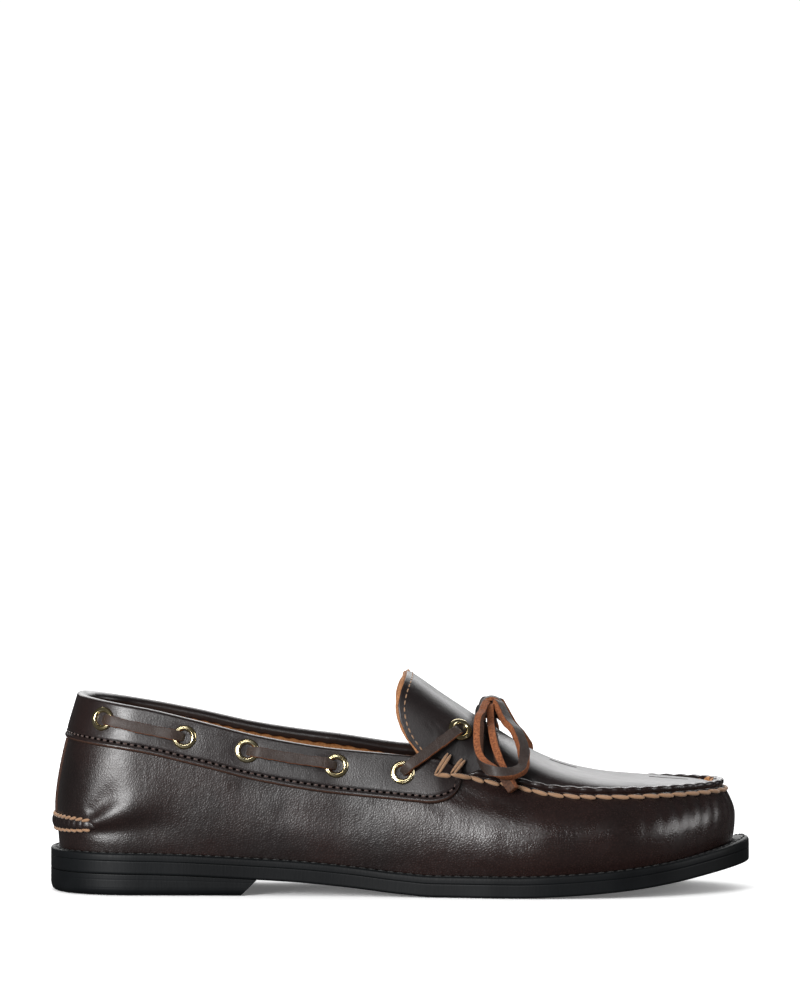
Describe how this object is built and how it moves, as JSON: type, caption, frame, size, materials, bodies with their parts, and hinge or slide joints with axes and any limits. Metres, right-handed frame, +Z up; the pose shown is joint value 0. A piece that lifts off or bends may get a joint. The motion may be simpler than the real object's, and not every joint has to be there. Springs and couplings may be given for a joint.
{
  "type": "boat shoe",
  "caption": "Right leather boat shoe with a hand-sewn moccasin toe, a laced collar with metal eyelets, a bow and a black rubber sole with a low heel.",
  "frame": {"origin": "middle of the shoe's box at floor level", "axes": "+X from heel to toe, +Y towards the inner side of the foot, +Z up from the floor"},
  "size_m": [0.29, 0.1052, 0.0911],
  "materials": {
    "upper_leather": "dark brown, waxed, semi-gloss",
    "band_leather": "dark brown, waxed, semi-gloss",
    "lining": "tan, matt",
    "sole_rubber": "black, satin",
    "midsole_rubber": "black, satin",
    "eyelet_brass": "pale gold, polished",
    "lace_leather": "dark brown face with tan raw edges"
  },
  "bodies": {
    "root": {"outsole": "sole_rubber", "heel": "sole_rubber", "midsole": "midsole_rubber", "insole": "lining", "upper": "upper_leather", "tongue": "upper_leather", "collar_band": "band_leather", "eyelet_heel_outer": "eyelet_brass", "eyelet_rear_outer": "eyelet_brass", "eyelet_middle_outer": "eyelet_brass", "eyelet_fore_outer": "eyelet_brass", "eyelet_throat_outer": "eyelet_brass", "eyelet_plug_outer": "eyelet_brass", "eyelet_heel_inner": "eyelet_brass", "eyelet_rear_inner": "eyelet_brass", "eyelet_middle_inner": "eyelet_brass", "eyelet_fore_inner": "eyelet_brass", "eyelet_throat_inner": "eyelet_brass", "eyelet_plug_inner": "eyelet_brass", "lace_run_rear_outer": "lace_leather", "lace_run_middle_outer": "lace_leather", "lace_run_throat_outer": "lace_leather", "lace_run_rear_inner": "lace_leather", "lace_run_middle_inner": "lace_leather", "lace_run_throat_inner": "lace_leather", "bow_knot": "lace_leather", "bow_loop_outer": "lace_leather", "bow_end_outer": "lace_leather", "bow_loop_inner": "lace_leather", "bow_end_inner": "lace_leather"}
  },
  "joints": []
}
